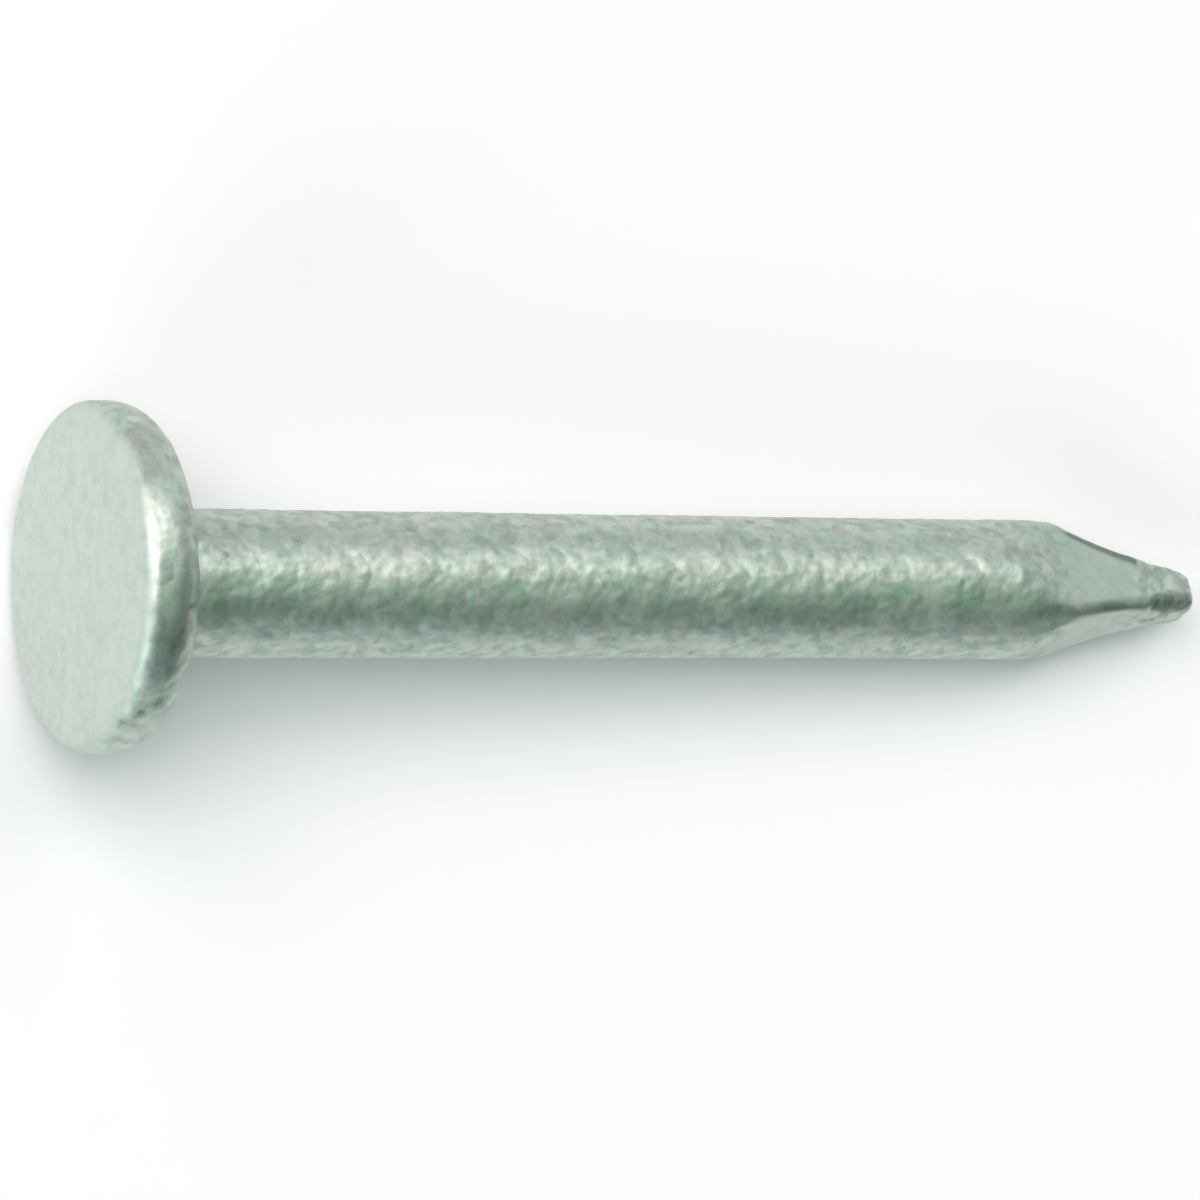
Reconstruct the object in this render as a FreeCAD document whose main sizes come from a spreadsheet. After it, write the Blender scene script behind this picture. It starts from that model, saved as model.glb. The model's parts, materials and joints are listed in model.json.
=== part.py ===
"""Hot-dip galvanised clout nail, as a parametric document.

The nail lies along +X. The origin is on its axis, in the plane of the head's underside, which is
the face that bears on whatever the nail holds down. The head is at negative X, the point at
positive X, and +Z is up. All sizes are millimetres.

Two separate pieces make the nail:

* steel_body         - one length of round wire, headed cold and pinched off to a four-sided point
* galvanised_coating - the closed skin of zinc that the hot dip leaves all round the steel
"""
import FreeCAD, Part
import math
import os

import Sketcher

# Driving dimensions, in millimetres and degrees, with the meaning of each
DIMENSIONS = (
    ("WireDiameter", 3.0, "drawn wire before the dip"),
    ("ZincSkin", 0.05, "mean thickness of the zinc"),
    ("LengthUnderHead", 25.7, "underside of the head to the tip, over the zinc"),
    ("HeadDiameter", 7.5, "over the zinc"),
    ("HeadThickness", 1.5, "over the zinc"),
    ("HeadOffset", 0.11, "how far the struck head sits off the shank's axis, towards +Y"),
    ("FaceEdgeRadius", 0.36, "rounding between the struck face and the rim"),
    ("SeatEdgeRadius", 0.85, "fuller rounding between the rim and the underside"),
    ("NeckFillet", 0.30, "fillet between the underside and the shank"),
    ("PointLength", 4.5, "first touch of a pinch facet to the tip"),
    ("TipAcrossFlats", 0.84, "width of the blunt square tip, over the zinc"),
    ("TipFlatRadius", 0.26, "flat left in the middle of the blunt end, over the zinc"),
    ("TipShift", 0.16, "how far the pinch leaves the tip off the axis, towards -Y"),
    ("FacetHollowAngle", 11.0, "half of the turn of a hollow facet along the nail"),
    ("FacetTurn", 27.0, "turn of the first facet about the axis, from the top towards +Y"),
    ("LongFacetLead", 0.70, "how much further up the shank the first facet starts"),
    ("LongFacetHollowAngle", 7.0, "half of the turn of that longer facet"),
    ("GripMarkStart", 2.6, "first gripper-die mark, from the underside of the head"),
    ("GripMarkPitch", 0.80, "spacing of the gripper-die marks"),
    ("GripMarkDepth", 0.09, "depth of a gripper-die mark"),
    ("GripMarkWidth", 0.34, "width of a gripper-die mark at the wire's surface"),
    ("CutMargin", 1.0, "how far a cutting outline reaches past the metal"),
)
FACETS = 4
LONG_FACET = 0  # the facet that the pinch left longer than the others
GRIP_MARKS = 4
LEAST_CUT = 1e-6  # cubic millimetres that a cut must remove to count


def add_sheet(doc):
    """Return a spreadsheet with one named cell for each driving dimension."""
    sheet = doc.addObject("Spreadsheet::Sheet", "Sizes")
    for row, (alias, value, meaning) in enumerate(DIMENSIONS, start=1):
        sheet.set(f"A{row}", alias)
        sheet.set(f"B{row}", str(value))
        sheet.set(f"C{row}", meaning)
        sheet.setAlias(f"B{row}", alias)
    doc.recompute()
    return sheet


def layer_rules(skin):
    """Return the expressions of one layer's sizes, whose surface lies `skin` inside the zinc's.

    `skin` is itself an expression: 0 for the zinc's outer surface, its thickness for the steel.
    """
    return {
        "shank": f"(Sizes.WireDiameter / 2 + Sizes.ZincSkin - {skin})",
        "face": f"(-Sizes.HeadThickness + {skin})",
        "mid_head": "(-Sizes.HeadThickness / 2)",
        "seat": f"(0 - {skin})",
        "tip": f"(Sizes.LengthUnderHead - {skin})",
        "head": f"(Sizes.HeadDiameter / 2 - {skin})",
        "face_edge": f"(Sizes.FaceEdgeRadius - {skin})",
        "seat_edge": f"(Sizes.SeatEdgeRadius - {skin})",
        "neck": f"(Sizes.NeckFillet + {skin})",
        "facet": f"(Sizes.LengthUnderHead - Sizes.PointLength - 2 * {skin})",
        "tip_half": f"(Sizes.TipAcrossFlats / 2 - {skin})",
        "tip_flat": f"(Sizes.TipFlatRadius - {skin} / 2)",
    }


def origin_feature(body, role):
    """Return the origin plane or axis of a body that has this role."""
    return next(item for item in body.Origin.OriginFeatures if item.Role == role)


def side_sketch(body, name, turn=None, aside=None):
    """Return a sketch whose x runs along the nail and whose y is the distance from the axis.

    `turn`, an expression in degrees, turns the sketch about the axis, from +Z towards +Y.
    `aside`, an expression, moves it towards +Y, off the axis.
    """
    sketch = body.newObject("Sketcher::SketchObject", name)
    sketch.AttachmentSupport = [(origin_feature(body, "XZ_Plane"), "")]
    sketch.MapMode = "FlatFace"
    if aside is not None:
        sketch.setExpression("AttachmentOffset.Base.z", f"-1 * {aside}")
    if turn is not None:
        along = FreeCAD.Vector(-1, 0, 0)
        sketch.AttachmentOffset = FreeCAD.Placement(FreeCAD.Vector(), FreeCAD.Rotation(along, 1))
        sketch.setExpression("AttachmentOffset.Rotation.Angle", turn)
    return sketch


def arc_between(start, end, radius, turn):
    """Return a circular arc between two points: turn is 1 to bend left on the way, -1 right."""
    chord = end - start
    side = FreeCAD.Vector(-chord.y, chord.x, 0) / chord.Length
    rise = math.sqrt(max(radius**2 - (chord.Length / 2) ** 2, 0))
    centre = (start + end) / 2 + side * (turn * rise)
    first, last = (start, end) if turn > 0 else (end, start)
    angles = [math.atan2(p.y - centre.y, p.x - centre.x) for p in (first, last)]
    if angles[1] < angles[0]:
        angles[1] += 2 * math.pi
    circle = Part.Circle(centre, FreeCAD.Vector(0, 0, 1), radius)
    return Part.ArcOfCircle(circle, *angles)


def tie(sketch, kind, where, rule, name, value):
    """Add one named dimension to a sketch and bind it to an expression."""
    index = sketch.addConstraint(Sketcher.Constraint(kind, *where, value))
    sketch.renameConstraint(index, name)
    sketch.setExpression(f"Constraints.{name}", rule)


def draw_outline(sketch, corners, arcs=None):
    """Draw a closed outline through corners that are tied to expressions.

    `corners` holds a name and the x and y expressions of each corner, in order. `arcs` gives the
    radius expression and the turn of each side that is an arc, under the corner it starts from.
    """
    arcs = arcs or {}
    points = [
        FreeCAD.Vector(sketch.evalExpression(x), sketch.evalExpression(y), 0)
        for _, x, y in corners
    ]
    ends = []
    for index, (name, _, _) in enumerate(corners):
        start, end = points[index], points[(index + 1) % len(points)]
        if name in arcs:
            radius_rule, turn = arcs[name]
            radius = sketch.evalExpression(radius_rule)
            side = sketch.addGeometry(arc_between(start, end, radius, turn), False)
            tie(sketch, "Radius", (side,), radius_rule, f"{name}Radius", radius)
            ends.append((side, 1, 2) if turn > 0 else (side, 2, 1))
        else:
            side = sketch.addGeometry(Part.LineSegment(start, end), False)
            ends.append((side, 1, 2))
    for index, (name, x_rule, y_rule) in enumerate(corners):
        side, first, _ = ends[index]
        before, _, last = ends[index - 1]
        sketch.addConstraint(Sketcher.Constraint("Coincident", before, last, side, first))
        x_value, y_value = points[index].x, points[index].y
        tie(sketch, "DistanceX", (-1, 1, side, first), x_rule, f"{name}X", x_value)
        tie(sketch, "DistanceY", (-1, 1, side, first), y_rule, f"{name}Y", y_value)


def add_turned_solid(doc, body, sketch, name):
    """Turn an outline all the way round its own base line, and add it to the body."""
    solid = body.newObject("PartDesign::Revolution", name)
    solid.Profile = sketch
    solid.ReferenceAxis = (sketch, ["H_Axis"])
    solid.Angle = 360
    doc.recompute()


def add_shank(doc, body, at):
    """Turn the wire from the middle of the head to the bevelled end, with the neck fillet."""
    sketch = side_sketch(body, f"{body.Name}_shank_outline")
    collar = f"{at['shank']} + {at['neck']}"
    corners = [
        ("RootCentre", at["mid_head"], "0"),
        ("RootEdge", at["mid_head"], collar),
        ("Seat", at["seat"], collar),
        ("Neck", f"{at['seat']} + {at['neck']}", at["shank"]),
        ("EndBevel", f"{at['tip']} - ({at['shank']} - {at['tip_flat']})", at["shank"]),
        ("TipFlat", at["tip"], at["tip_flat"]),
        ("TipCentre", at["tip"], "0"),
    ]
    draw_outline(sketch, corners, {"Seat": (at["neck"], 1)})
    add_turned_solid(doc, body, sketch, f"{body.Name}_shank")


def add_head(doc, body, at):
    """Turn the struck head, a little off the shank's axis, with a fuller edge underneath."""
    sketch = side_sketch(body, f"{body.Name}_head_outline", aside="Sizes.HeadOffset")
    corners = [
        ("FaceCentre", at["face"], "0"),
        ("FaceEdge", at["face"], f"{at['head']} - {at['face_edge']}"),
        ("RimFront", f"{at['face']} + {at['face_edge']}", at["head"]),
        ("RimBack", f"{at['seat']} - {at['seat_edge']}", at["head"]),
        ("SeatEdge", at["seat"], f"{at['head']} - {at['seat_edge']}"),
        ("SeatCentre", at["seat"], "0"),
    ]
    arcs = {"FaceEdge": (at["face_edge"], -1), "RimBack": (at["seat_edge"], -1)}
    draw_outline(sketch, corners, arcs)
    add_turned_solid(doc, body, sketch, f"{body.Name}_head")


def add_through_cut(doc, body, sketch, name, width_rule):
    """Cut a side outline right through the body, both ways from the sketch's plane."""
    before = body.Shape.Volume
    cut = body.newObject("PartDesign::Pocket", name)
    cut.Profile = sketch
    cut.Type = "Length"
    cut.SideType = "Symmetric"
    cut.setExpression("Length", width_rule)
    doc.recompute()
    if before - body.Shape.Volume < LEAST_CUT:
        raise ValueError(f"{name} cuts nothing")
    return cut


def repeat_cut(doc, body, pattern, cut, count):
    """Make a pattern of a cut the body's last feature, and check that it removes more metal."""
    before = body.Shape.Volume
    pattern.Originals = [cut]
    pattern.Occurrences = count
    body.Tip = pattern
    doc.recompute()
    if before - body.Shape.Volume < LEAST_CUT:
        raise ValueError(f"{pattern.Name} repeats nothing")


def add_point(doc, body, at):
    """Pinch the end to a four-sided point of hollow facets that meet a little off the axis.

    The first facet starts further up the shank than the others, and is flatter.
    """
    past_tip = f"{at['tip']} + Sizes.CutMargin"
    clear = f"{at['shank']} + Sizes.CutMargin"
    for number in range(FACETS):
        turn = f"(Sizes.FacetTurn + {number} * 360 / {FACETS})"
        start, hollow = at["facet"], "Sizes.FacetHollowAngle"
        if number == LONG_FACET:
            start, hollow = f"({start} - Sizes.LongFacetLead)", "Sizes.LongFacetHollowAngle"
        sketch = side_sketch(body, f"{body.Name}_facet_outline_{number + 1}", turn)
        end = f"({at['tip_half']} - Sizes.TipShift * sin({turn}))"
        run = f"({at['tip']} - {start})"
        fall = f"({at['shank']} - {end})"
        radius = f"sqrt({run} ^ 2 + {fall} ^ 2) / (2 * sin({hollow}))"
        corners = [
            ("FacetStart", start, at["shank"]),
            ("FacetEnd", at["tip"], end),
            ("PastTip", past_tip, end),
            ("PastCorner", past_tip, clear),
            ("AboveStart", start, clear),
        ]
        draw_outline(sketch, corners, {"FacetStart": (radius, 1)})
        width = f"2 * ({clear})"
        add_through_cut(doc, body, sketch, f"{body.Name}_facet_{number + 1}", width)


def add_grip_marks(doc, body, at):
    """Press the rows of shallow notches that the gripper dies leave on two sides of the shank."""
    for side, sign in (("upper", 1), ("lower", -1)):
        sketch = side_sketch(body, f"{side}_mark_outline")
        surface = f"{sign} * {at['shank']}"
        proud = f"{sign} * ({at['shank']} + Sizes.GripMarkDepth)"
        root = f"{sign} * ({at['shank']} - Sizes.GripMarkDepth)"
        half = "Sizes.GripMarkWidth / 2"
        corners = [
            ("Left", f"Sizes.GripMarkStart - {half}", surface),
            ("Root", "Sizes.GripMarkStart", root),
            ("Right", f"Sizes.GripMarkStart + {half}", surface),
            ("RightProud", f"Sizes.GripMarkStart + {half}", proud),
            ("LeftProud", f"Sizes.GripMarkStart - {half}", proud),
        ]
        draw_outline(sketch, corners)
        mark = add_through_cut(doc, body, sketch, f"{side}_mark", "Sizes.WireDiameter")
        row = body.newObject("PartDesign::LinearPattern", f"{side}_marks")
        row.Direction = (origin_feature(body, "X_Axis"), [""])
        row.setExpression("Length", f"{GRIP_MARKS - 1} * Sizes.GripMarkPitch")
        repeat_cut(doc, body, row, mark, GRIP_MARKS)


def add_nail_body(doc, name, skin):
    """Return a body with the whole nail's shape, `skin` inside the zinc's outer surface."""
    body = doc.addObject("PartDesign::Body", name)
    rules = layer_rules(skin)
    add_shank(doc, body, rules)
    add_head(doc, body, rules)
    add_point(doc, body, rules)
    return body


def build_steel_body(doc):
    """Forge the steel: the nail's shape inside the zinc, with the gripper-die marks."""
    body = add_nail_body(doc, "steel_body", "Sizes.ZincSkin")
    add_grip_marks(doc, body, layer_rules("Sizes.ZincSkin"))
    body.Label = "steel_body"
    return body


def build_galvanised_coating(doc, steel):
    """Dip the nail: the outer surface's solid less the steel leaves the closed skin of zinc."""
    outside = add_nail_body(doc, "coated_outside", "0")
    coating = doc.addObject("Part::Cut", "galvanised_coating")
    coating.Base = outside
    coating.Tool = steel
    coating.Label = "galvanised_coating"
    doc.recompute()
    return coating


def check(doc, pieces):
    """Stop if any object failed, or if a piece is empty or not a valid solid."""
    doc.recompute()
    for item in doc.Objects:
        if {"Invalid", "Error"} & set(item.State):
            raise ValueError(f"{item.Name} did not compute: {item.State}")
        if item.isDerivedFrom("Sketcher::SketchObject") and item.solve() != 0:
            raise ValueError(f"{item.Name} does not solve")
    for piece in pieces:
        shape = piece.Shape
        if shape.isNull() or not shape.isValid() or len(shape.Solids) != 1:
            raise ValueError(f"{piece.Label} is not one valid solid")


def main():
    """Build both pieces, check them, and write each to a file of its own."""
    doc = FreeCAD.newDocument("clout_nail")
    add_sheet(doc)
    steel = build_steel_body(doc)
    coating = build_galvanised_coating(doc, steel)
    pieces = (steel, coating)
    check(doc, pieces)
    os.makedirs("parts", exist_ok=True)
    for piece in pieces:
        piece.Shape.exportStep(f"parts/{piece.Label}.step")
        box = piece.Shape.BoundBox
        print(f"{piece.Label}: {piece.Shape.Volume:.3f} mm3, X {box.XMin:.3f} to {box.XMax:.3f}")


main()
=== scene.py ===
"""Looks of a hot-dip galvanised clout nail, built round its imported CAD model.

The nail lies along +X with its origin on the axis, under the head. Lengths are metres. The coat
of zinc is a new closed shell with the lumps, pits and softened edges of a hot dip. The steel wire
inside it is rebuilt out to the coat's inner wall, in a drawn-steel finish. The nail rests on the
rim of its head and on its tip, on a plain pale floor.
"""
import json
import logging
import math
from dataclasses import dataclass, replace
from enum import Enum, auto
from typing import ClassVar

import bpy
import numpy as np
from mathutils import Matrix, Vector


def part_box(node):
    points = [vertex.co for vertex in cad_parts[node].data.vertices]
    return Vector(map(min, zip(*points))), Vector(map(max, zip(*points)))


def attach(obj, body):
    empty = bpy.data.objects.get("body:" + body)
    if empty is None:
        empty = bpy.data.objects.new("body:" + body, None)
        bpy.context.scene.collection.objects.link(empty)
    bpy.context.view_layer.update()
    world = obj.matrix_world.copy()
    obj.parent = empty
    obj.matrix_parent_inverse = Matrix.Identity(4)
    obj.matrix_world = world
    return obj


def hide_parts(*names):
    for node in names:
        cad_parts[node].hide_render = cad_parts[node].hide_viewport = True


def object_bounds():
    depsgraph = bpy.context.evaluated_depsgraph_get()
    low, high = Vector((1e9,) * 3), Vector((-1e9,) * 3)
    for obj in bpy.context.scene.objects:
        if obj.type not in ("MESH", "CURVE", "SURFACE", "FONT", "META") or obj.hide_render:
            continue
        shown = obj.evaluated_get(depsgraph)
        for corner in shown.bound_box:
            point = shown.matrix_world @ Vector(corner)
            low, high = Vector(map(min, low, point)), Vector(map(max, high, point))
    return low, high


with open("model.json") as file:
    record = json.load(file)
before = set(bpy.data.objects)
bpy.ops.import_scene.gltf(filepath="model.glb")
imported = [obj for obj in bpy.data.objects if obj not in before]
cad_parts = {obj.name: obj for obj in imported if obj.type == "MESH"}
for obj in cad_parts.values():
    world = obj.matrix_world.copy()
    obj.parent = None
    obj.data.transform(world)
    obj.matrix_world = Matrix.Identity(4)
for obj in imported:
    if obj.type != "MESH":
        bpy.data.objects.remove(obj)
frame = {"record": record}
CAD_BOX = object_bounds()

MM = 0.001
PER_MM = 1.0 / MM
COAT_NODE = "galvanised_coating"
STEEL_NODE = "steel_body"
BODY = "root"
LOG = logging.getLogger("clout_nail")

Colour = tuple[float, float, float, float]
Tint = tuple[float, float, float]


class Zone(Enum):
    """The stretches of the nail's outline, in order from the struck face to the tip."""

    FACE = auto()
    FACE_EDGE = auto()
    RIM = auto()
    SEAT_EDGE = auto()
    SEAT = auto()
    NECK = auto()
    SHANK = auto()
    POINT = auto()
    END = auto()


def smoothstep(value: np.ndarray, low: float, high: float) -> np.ndarray:
    """Return 0 below low, 1 above high and the cubic 3t^2 - 2t^3 between them.

    Args:
        value: Where to work the step out.
        low: The value at which the step starts.
        high: The value at which it ends.

    Returns:
        The step at each value.
    """
    part = np.clip((value - low) / (high - low), 0.0, 1.0)
    return part * part * (3.0 - 2.0 * part)


def link_mesh(name: str, points: np.ndarray, faces: list[tuple]) -> bpy.types.Object:
    """Make a smooth-shaded mesh object at the origin and put it in the scene.

    Args:
        name: Name of the mesh and the object.
        points: Its points, one row for each.
        faces: One tuple of point indices for each face.

    Returns:
        The object.
    """
    mesh = bpy.data.meshes.new(name)
    mesh.from_pydata(points.tolist(), [], faces)
    mesh.polygons.foreach_set("use_smooth", np.ones(len(mesh.polygons), bool))
    mesh.validate()
    mesh.update()
    made = bpy.data.objects.new(name, mesh)
    bpy.context.scene.collection.objects.link(made)
    return made


class LumpField:
    """Seeded gradient noise in space, for the unevenness that a hot dip leaves.

    The lattice repeats after LATTICE cells, and GAIN brings the noise to about -1 to 1.
    """

    LATTICE: ClassVar[int] = 256
    GAIN: ClassVar[float] = 1.6

    def __init__(self, seed: int) -> None:
        """Draw the lattice's order and its gradients.

        Args:
            seed: Seed of the random draws, so that every run gives the same lumps.
        """
        draw = np.random.default_rng(seed)
        self.order = draw.permutation(self.LATTICE)
        gradients = draw.normal(size=(self.LATTICE, 3))
        self.gradients = gradients / np.linalg.norm(gradients, axis=1, keepdims=True)

    def corner(self, cell: np.ndarray, offset: np.ndarray) -> np.ndarray:
        """Return the dot product of a lattice corner's gradient with the way to the point.

        Args:
            cell: Whole-number lattice corners, one row for each point.
            offset: The way from that corner to the point, in cells.

        Returns:
            One number for each point.
        """
        wrapped = cell % self.LATTICE
        index = self.order[wrapped[:, 0]]
        for axis in (1, 2):
            index = self.order[(index + wrapped[:, axis]) % self.LATTICE]
        return np.einsum("ij,ij->i", self.gradients[index], offset)

    def sample(self, points: np.ndarray, size: float) -> np.ndarray:
        """Return noise of about -1 to 1 whose lumps are about `size` across.

        The eight corners round each point are blended by the fade curve 6t^5 - 15t^4 + 10t^3
        along each axis, as in classic gradient noise.

        Args:
            points: Places in metres, one row for each.
            size: Width of a lattice cell in metres.

        Returns:
            The noise at each point.
        """
        scaled = points / size
        base = np.floor(scaled).astype(int)
        part = scaled - base
        fade = part**3 * (part * (part * 6.0 - 15.0) + 10.0)
        total = np.zeros(len(points))
        for step in np.ndindex(2, 2, 2):
            corner = np.array(step)
            weight = np.prod(np.where(corner == 1, fade, 1.0 - fade), axis=1)
            total += weight * self.corner(base + corner, part - corner)
        return total * self.GAIN


@dataclass
class NailForm:
    """The nail's outer shape over the zinc.

    The first five sizes are read from the frame. The others are the part's own, which the frame
    doesn't state, and the softening that only the dip has: the zinc gathered on the facets and on
    the stub, the swell of the shank, and the powers that round its ridges. The stub's two places
    are measured back from the tip, the facets' two on from the start of the point. The point's
    rings start `point_lead` before it, and `swell_rise` is the share of the shank over which the
    swell comes in.
    """

    shank_radius: float
    head_radius: float
    head_thickness: float
    head_offset: float
    tip_x: float
    seat_x: float = 0.0
    face_edge: float = 0.36 * MM
    seat_edge: float = 0.85 * MM
    neck: float = 0.30 * MM
    point_length: float = 4.5 * MM
    tip_half: float = 0.42 * MM
    tip_shift: float = 0.16 * MM
    facet_half_turn: float = math.radians(11.0)
    facet_azimuth: float = math.radians(27.0)
    facets: int = 4
    long_facet_lead: float = 0.70 * MM
    long_facet_half_turn: float = math.radians(7.0)
    facet_zinc: float = 0.0
    stub_zinc: float = 0.0
    ridge_power: float = 9.0
    stub_power: float = 3.4
    circle_power: float = 40.0
    stub_start: float = 2.0 * MM
    stub_full: float = 1.0 * MM
    facet_start: float = 0.5 * MM
    facet_full: float = 1.4 * MM
    point_lead: float = 1.2 * MM
    shank_swell: float = 0.0
    swell_rise: float = 0.02
    end_rounding: float = 0.38 * MM
    end_power: float = 2.7

    @classmethod
    def from_frame(cls) -> "NailForm":
        """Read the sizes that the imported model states.

        Returns:
            The form, with those sizes and the part's own.
        """
        low, high = (np.array(corner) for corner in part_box(COAT_NODE))
        shank = next(m for m in frame["record"]["mounts"] if m["name"] == "shank")
        return cls(
            shank_radius=shank["dims"]["r_mm"] * MM,
            head_radius=(high[2] - low[2]) / 2,
            head_thickness=-low[0],
            head_offset=(high[1] + low[1]) / 2,
            tip_x=high[0],
        )

    @property
    def point_x(self) -> float:
        """Where the facets, other than the long one, first touch the shank."""
        return self.tip_x - self.point_length

    def outline(self, counts: dict[Zone, int]) -> tuple[np.ndarray, np.ndarray, list[Zone]]:
        """Return the outline of the turned parts, from the face's middle to the point's start.

        The face, rim and seat are straight runs, and the face edge, seat edge and neck are
        quarter circles: x = centre -/+ r cos a and radius = centre + r sin a for a from 0 to 90
        degrees. The shank is swollen next to the head, and the swell dies out towards the point.

        Args:
            counts: Number of rings in each zone.

        Returns:
            Each ring's place along the nail, its radius and its zone.
        """
        face_x, head = -self.head_thickness, self.head_radius
        runs = {}
        steps = {zone: (np.arange(count) + 1.0) / count for zone, count in counts.items()}
        turn = {zone: part * math.pi / 2 for zone, part in steps.items()}
        flat = head - self.face_edge
        runs[Zone.FACE] = (np.full(counts[Zone.FACE], face_x), flat * steps[Zone.FACE])
        angle = turn[Zone.FACE_EDGE]
        runs[Zone.FACE_EDGE] = (
            face_x + self.face_edge * (1 - np.cos(angle)),
            flat + self.face_edge * np.sin(angle),
        )
        rim_from, rim_to = face_x + self.face_edge, self.seat_x - self.seat_edge
        part = steps[Zone.RIM]
        runs[Zone.RIM] = (rim_from + (rim_to - rim_from) * part, np.full(len(part), head))
        angle = turn[Zone.SEAT_EDGE]
        runs[Zone.SEAT_EDGE] = (
            rim_to + self.seat_edge * np.sin(angle),
            head - self.seat_edge * (1 - np.cos(angle)),
        )
        outer, inner = head - self.seat_edge, self.shank_radius + self.neck
        part = steps[Zone.SEAT]
        runs[Zone.SEAT] = (np.full(len(part), self.seat_x), outer + (inner - outer) * part)
        angle = turn[Zone.NECK]
        runs[Zone.NECK] = (
            self.seat_x + self.neck * (1 - np.cos(angle)),
            inner - self.neck * np.sin(angle),
        )
        part = steps[Zone.SHANK]
        start, end = self.seat_x + self.neck, self.point_x - self.point_lead
        swell = self.shank_swell * (1 - part) * smoothstep(part, 0.0, self.swell_rise)
        runs[Zone.SHANK] = (start + (end - start) * part, self.shank_radius + swell)
        zones = [zone for zone in runs for _ in range(counts[zone])]
        along = np.concatenate([run[0] for run in runs.values()])
        radius = np.concatenate([run[1] for run in runs.values()])
        return along, radius, zones

    def facet_distance(self, along: np.ndarray, number: int) -> np.ndarray:
        """Return how far a hollow facet is from the axis.

        The facet is an arc of a circle from its start, at the shank's radius, to its end at the
        tip. The arc turns by twice the facet's half turn. Before its start the facet runs on in
        a straight line, outwards. The first facet starts further up the shank and is flatter.

        Args:
            along: Places along the nail.
            number: Which facet, from 0.

        Returns:
            The distance at each place.
        """
        azimuth = self.facet_azimuth + number * 2 * math.pi / self.facets
        long = number == 0
        half_turn = self.long_facet_half_turn if long else self.facet_half_turn
        start = self.point_x - (self.long_facet_lead if long else 0.0)
        end = self.tip_half - self.tip_shift * math.sin(azimuth)
        run, fall = self.tip_x - start, self.shank_radius - end
        chord = math.hypot(run, fall)
        radius = chord / (2 * math.sin(half_turn))
        rise = radius * math.cos(half_turn)
        centre_x = start + run / 2 + rise * fall / chord
        centre_r = self.shank_radius - fall / 2 + rise * run / chord
        inside = np.clip(radius**2 - (along - centre_x) ** 2, 0.0, None)
        arc = centre_r - np.sqrt(inside)
        slope = math.tan(math.atan2(fall, run) + half_turn)
        before = self.shank_radius + slope * (start - along)
        return np.where(along < start, before, arc)

    def stub_share(self, along: np.ndarray) -> np.ndarray:
        """Return 1 on the stub at the tip, where the zinc gathers, and 0 before it."""
        return smoothstep(along, self.tip_x - self.stub_start, self.tip_x - self.stub_full)

    def facet_share(self, along: np.ndarray) -> np.ndarray:
        """Return 1 on the pinched facets and the stub, and 0 on the shank."""
        return smoothstep(along, self.point_x + self.facet_start, self.point_x + self.facet_full)

    def facet_crossings(self, along: np.ndarray, azimuth: np.ndarray) -> np.ndarray:
        """Return 1 / radius at which a ray at each angle would cross each facet.

        A facet at distance d and azimuth f is crossed at d / cos(azimuth - f), or never.

        Args:
            along: Places along the nail.
            azimuth: Angles about the axis, from +Z towards +Y.

        Returns:
            One value for each facet, place and angle, in 1 / metres.
        """
        zinc = self.facet_zinc + (self.stub_zinc - self.facet_zinc) * self.stub_share(along)
        crossings = []
        for number in range(self.facets):
            toward = np.cos(azimuth - self.facet_azimuth - number * 2 * math.pi / self.facets)
            distance = self.facet_distance(along, number) + zinc
            crossings.append(np.clip(toward, 0.0, None) / distance)
        return np.stack(np.broadcast_arrays(*crossings))

    def point_radius(self, along: np.ndarray, azimuth: np.ndarray) -> np.ndarray:
        """Return the point's radius: the shank's circle cut by the four facets, edges softened.

        The nearest facet crossed wins, and ridges between facets are softened by a power mean:
        the sum over the facets of (1 / radius of crossing)^p, to the power -1 / p. The same mean
        with a high power joins the result to the circle. p falls on the stub at the tip, whose
        ridges are the roundest.

        Args:
            along: Places along the nail.
            azimuth: Angles about the axis, from +Z towards +Y.

        Returns:
            The radius at each place and angle.
        """
        power = self.ridge_power + (self.stub_power - self.ridge_power) * self.stub_share(along)
        crossings = self.facet_crossings(along, azimuth)
        faceted = (crossings**power).sum(axis=0) ** (1.0 / power)
        join, circle = self.circle_power, 1.0 / self.shank_radius
        return (faceted**join + circle**join) ** (-1.0 / join)


@dataclass(frozen=True)
class BlemishOrPaintedLight:
    """A hollow or lump in the zinc, or a patch of painted reflection or painted highlight: its
    place, half width, depth, and how dark it is.

    Azimuth is in degrees about the axis, from +Z towards +Y. A depth below zero is a lump. A tone
    below zero is paler than the zinc round it.
    """

    along: float
    azimuth: float
    width: float
    depth: float
    tone: float = 0.7


@dataclass(frozen=True)
class PaintedRidgeShade:
    """A painted dark reflection, in a band along one ridge of the pinched end.

    Ridge 0 is between facets 0 and 1. The half widths are at the band's two ends. The band grows
    in from `lead` before its start to `grow` after it, and dies out over `fade` past its end. In
    half widths from the ridge, it is full up to `core` and gone at `edge`.
    """

    ridge: float
    start: float
    end: float
    start_width: float
    end_width: float
    tone: float
    fade: float
    lead: float = 0.3 * MM
    grow: float = 0.5 * MM
    core: float = 0.25
    edge: float = 1.15

    def share(self, along: np.ndarray, arc: np.ndarray) -> np.ndarray:
        """Return 1 in the middle of the band, falling to 0 at its edges and past its ends.

        The half width at a place runs evenly between the half widths at the two ends.

        Args:
            along: Places along the nail.
            arc: Their distances from the ridge, round the nail.

        Returns:
            The share at each place.
        """
        part = np.clip((along - self.start) / (self.end - self.start), 0.0, 1.0)
        width = self.start_width + (self.end_width - self.start_width) * part
        inside = smoothstep(along, self.start - self.lead, self.start + self.grow)
        inside = inside * (1 - smoothstep(along, self.end, self.end + self.fade))
        return inside * (1 - smoothstep(arc / width, self.core, self.edge))


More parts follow.
